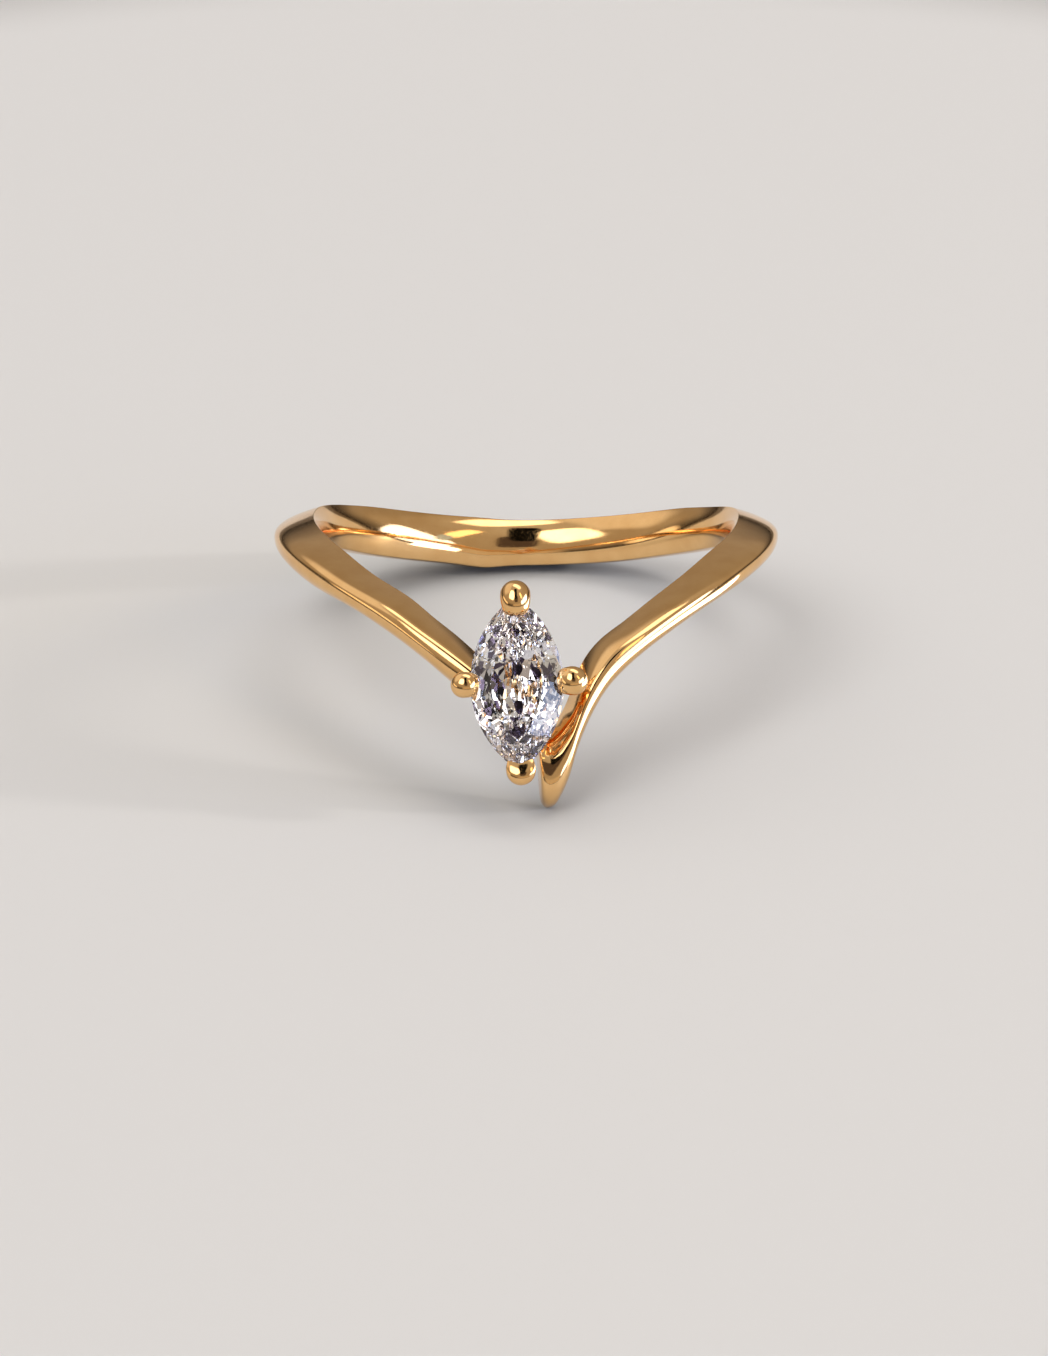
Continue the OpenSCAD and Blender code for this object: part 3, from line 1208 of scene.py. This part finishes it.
@dataclass(frozen=True)
class Studio:
    """The surface, lights, room and camera.

    Attributes:
        elevation: degrees of the camera over the surface.
        azimuth: degrees of the camera round from the front.
        lens: focal length, in mm.
        sensor: width of the sensor, in mm.
        frame_height: height that the picture shows at the ring, in mm.
        aim: height of the ring's middle over the surface, in mm.
        aim_right: how far right of the ring's middle the picture's middle is, in mm.
        aim_up: how far over the ring's middle the picture's middle is, in mm.
        clip: the nearest and the farthest that the camera shows, in m.
        floor_size: side of the surface, in m.
        walls: colour of the room at each height of gaze.
        patches: the light and dark shapes in the room, each over those before it.
        sun: azimuth and elevation of the sun, in degrees.
        sun_off: distance of the sun's lamp, in m.
        sun_size: side of the sun's lamp, in m.
        sun_glow: how bright the sun is.
        sun_colour: colour of the sun.
        card_at: the middle of the card, in mm.
        card_back: the direction that the card's back faces.
        card_size: width and height of the card, in mm.
        card_glow: how bright the card is.
        card_colour: colour of the card's light.
        bounces: how often light may bounce in the stone or between mirrors, and in all.
    """

    elevation: float = 26.89
    azimuth: float = -0.22
    lens: float = 300.0
    sensor: float = 36.0
    frame_height: float = 53.49
    aim: float = 5.0
    aim_right: float = -0.095
    aim_up: float = -3.98
    clip: tuple[float, float] = (0.01, 20.0)
    floor_size: float = 1.6
    walls: tuple[tuple[float, Colour], ...] = (
        (0.0, (0.03, 0.025, 0.02)),
        (0.05, (0.09, 0.08, 0.07)),
        (0.12, (0.20, 0.175, 0.15)),
        (0.28, (0.44, 0.385, 0.32)),
        (0.70, (0.46, 0.41, 0.35)),
        (0.95, (0.55, 0.52, 0.48)),
    )
    patches: tuple[Patch, ...] = (
        Patch(180.0, 32.0, 62.0, 22.0, 0.6, (0.36, 0.315, 0.26)),
        Patch(-120.0, 45.0, 36.0, 24.0, 0.5, (0.90, 0.84, 0.78)),
        Patch(-80.0, 6.0, 26.0, 5.0, 0.6, (1.5, 1.3, 1.05)),
        Patch(-38.0, 52.0, 20.0, 22.0, 0.3, (3.2, 3.1, 3.0)),
        Patch(14.0, 6.0, 38.0, 10.0, 0.5, (0.62, 0.54, 0.44)),
        Patch(150.0, 72.0, 24.0, 12.0, 0.3, (2.4, 2.3, 2.2)),
        Patch(6.0, 38.0, 13.0, 15.0, 0.2, (0.09, 0.07, 0.065)),
        Patch(54.0, 44.0, 6.0, 15.0, 0.4, (2.6, 2.0, 1.3)),
        Patch(70.0, 14.0, 28.0, 12.0, 0.12, (2.6, 3.0, 4.2)),
        Patch(56.0, 27.0, 5.0, 6.0, 0.2, (0.55, 0.72, 0.95)),
        Patch(2.0, 64.0, 9.0, 25.0, 0.1, (0.004, 0.004, 0.004)),
    )
    sun: tuple[float, float] = (84.0, 13.0)
    sun_off: float = 0.6
    sun_size: float = 0.03
    sun_glow: float = 420.0
    sun_colour: Colour = (1.0, 0.93, 0.85)
    card_at: tuple[float, float, float] = (14.0, -7.5, 2.7)
    card_back: tuple[float, float, float] = (1.0, 0.0, 0.0)
    card_size: tuple[float, float] = (15.0, 5.2)
    card_glow: float = 5.0
    card_colour: Colour = (0.80, 0.95, 1.30)
    bounces: tuple[int, int] = (24, 32)

    def surface(self) -> None:
        """Lays the surface under the ring."""
        deselect()
        bpy.ops.mesh.primitive_plane_add(size=self.floor_size)
        floor = bpy.context.object
        floor.name = "surface"
        floor.data.materials.append(SatinPaper().make())

    def camera(self) -> None:
        """Points the camera as in the photo."""
        back, right = gaze(self.azimuth, self.elevation), rightward(self.azimuth)
        aim = Vector((0.0, 0.0, self.aim)) + right * self.aim_right + back.cross(right) * self.aim_up
        away = self.lens * self.frame_height / self.sensor
        bpy.ops.object.camera_add(location=(aim + back * away) * MM)
        camera = bpy.context.object
        camera.name = "camera"
        camera.rotation_euler = back.to_track_quat("Z", "Y").to_euler()
        camera.data.lens = self.lens
        camera.data.sensor_width = self.sensor
        camera.data.clip_start, camera.data.clip_end = self.clip
        bpy.context.scene.camera = camera

    def room(self) -> None:
        """Sets the room all round: dark at the horizon, dim walls, and the shapes in it."""
        world = bpy.data.worlds.new("room")
        world.use_nodes = True
        tree = world.node_tree
        look = tree.nodes.new("ShaderNodeTexCoord").outputs["Generated"]
        split = tree.nodes.new("ShaderNodeSeparateXYZ")
        walls = tree.nodes.new("ShaderNodeValToRGB")
        fill_ramp(walls.color_ramp, self.walls)
        tree.links.new(look, split.inputs["Vector"])
        tree.links.new(split.outputs["Z"], walls.inputs["Fac"])
        colour = walls.outputs["Color"]
        for patch in self.patches:
            colour = patch.paint(tree, look, colour)
        tree.links.new(colour, tree.nodes["Background"].inputs["Color"])
        bpy.context.scene.world = world

    def lamps(self, gold_pieces: list[bpy.types.Object]) -> None:
        """Adds the low sun, and a white card beside the point that lights the gold alone.

        Args:
            gold_pieces: the pieces that the card lights.
        """
        towards_sun = gaze(*self.sun)
        Lamp("sun", towards_sun * self.sun_off, towards_sun, (self.sun_size, self.sun_size),
             self.sun_glow, self.sun_colour).build()
        card = Lamp("card", Vector(self.card_at) * MM, Vector(self.card_back),
                    tuple(side * MM for side in self.card_size), self.card_glow, self.card_colour).build()
        card.visible_camera = False
        lit = bpy.data.collections.new("lit_by_card")
        for piece in gold_pieces:
            lit.objects.link(piece)
        card.light_linking.receiver_collection = lit

    def build(self, gold_pieces: list[bpy.types.Object]) -> None:
        """Sets the whole stage.

        Args:
            gold_pieces: the gold pieces, which the card lights.
        """
        self.surface()
        self.room()
        self.lamps(gold_pieces)
        self.camera()
        scene = bpy.context.scene
        scene.view_settings.view_transform = "Standard"
        scene.cycles.transmission_bounces = self.bounces[0]
        scene.cycles.glossy_bounces = self.bounces[0]
        scene.cycles.max_bounces = self.bounces[1]
        scene.cycles.caustics_refractive = False
        scene.cycles.caustics_reflective = False


def main() -> None:
    """Builds the ring, its surface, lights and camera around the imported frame."""
    logging.basicConfig(level=logging.INFO)
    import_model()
    pose = RingPose()
    gold = PolishedGold().make()
    girdle = pose.setting()
    table_way = (girdle.to_3x3() @ Vector((0.0, 0.0, 1.0))).normalized()
    diamond = CutDiamond().make(girdle.translation, table_way)
    stone = Stone().build(pose)
    setting = Setting()
    seat = setting.seat_solid(stone, pose)
    settle(stone, diamond, STONE_NODE)
    shank = Shank().build(pose)
    setting.cut_seat(shank, seat)
    gold_pieces = [shank, *(setting.claw(shape, pose, seat) for shape in setting.claws),
                   setting.gallery_ring(pose)]
    for piece in gold_pieces:
        settle(piece, gold, GOLD_NODE)
    bpy.data.objects.remove(seat)
    Studio().build(gold_pieces)
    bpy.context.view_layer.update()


if __name__ == "__main__":
    main()
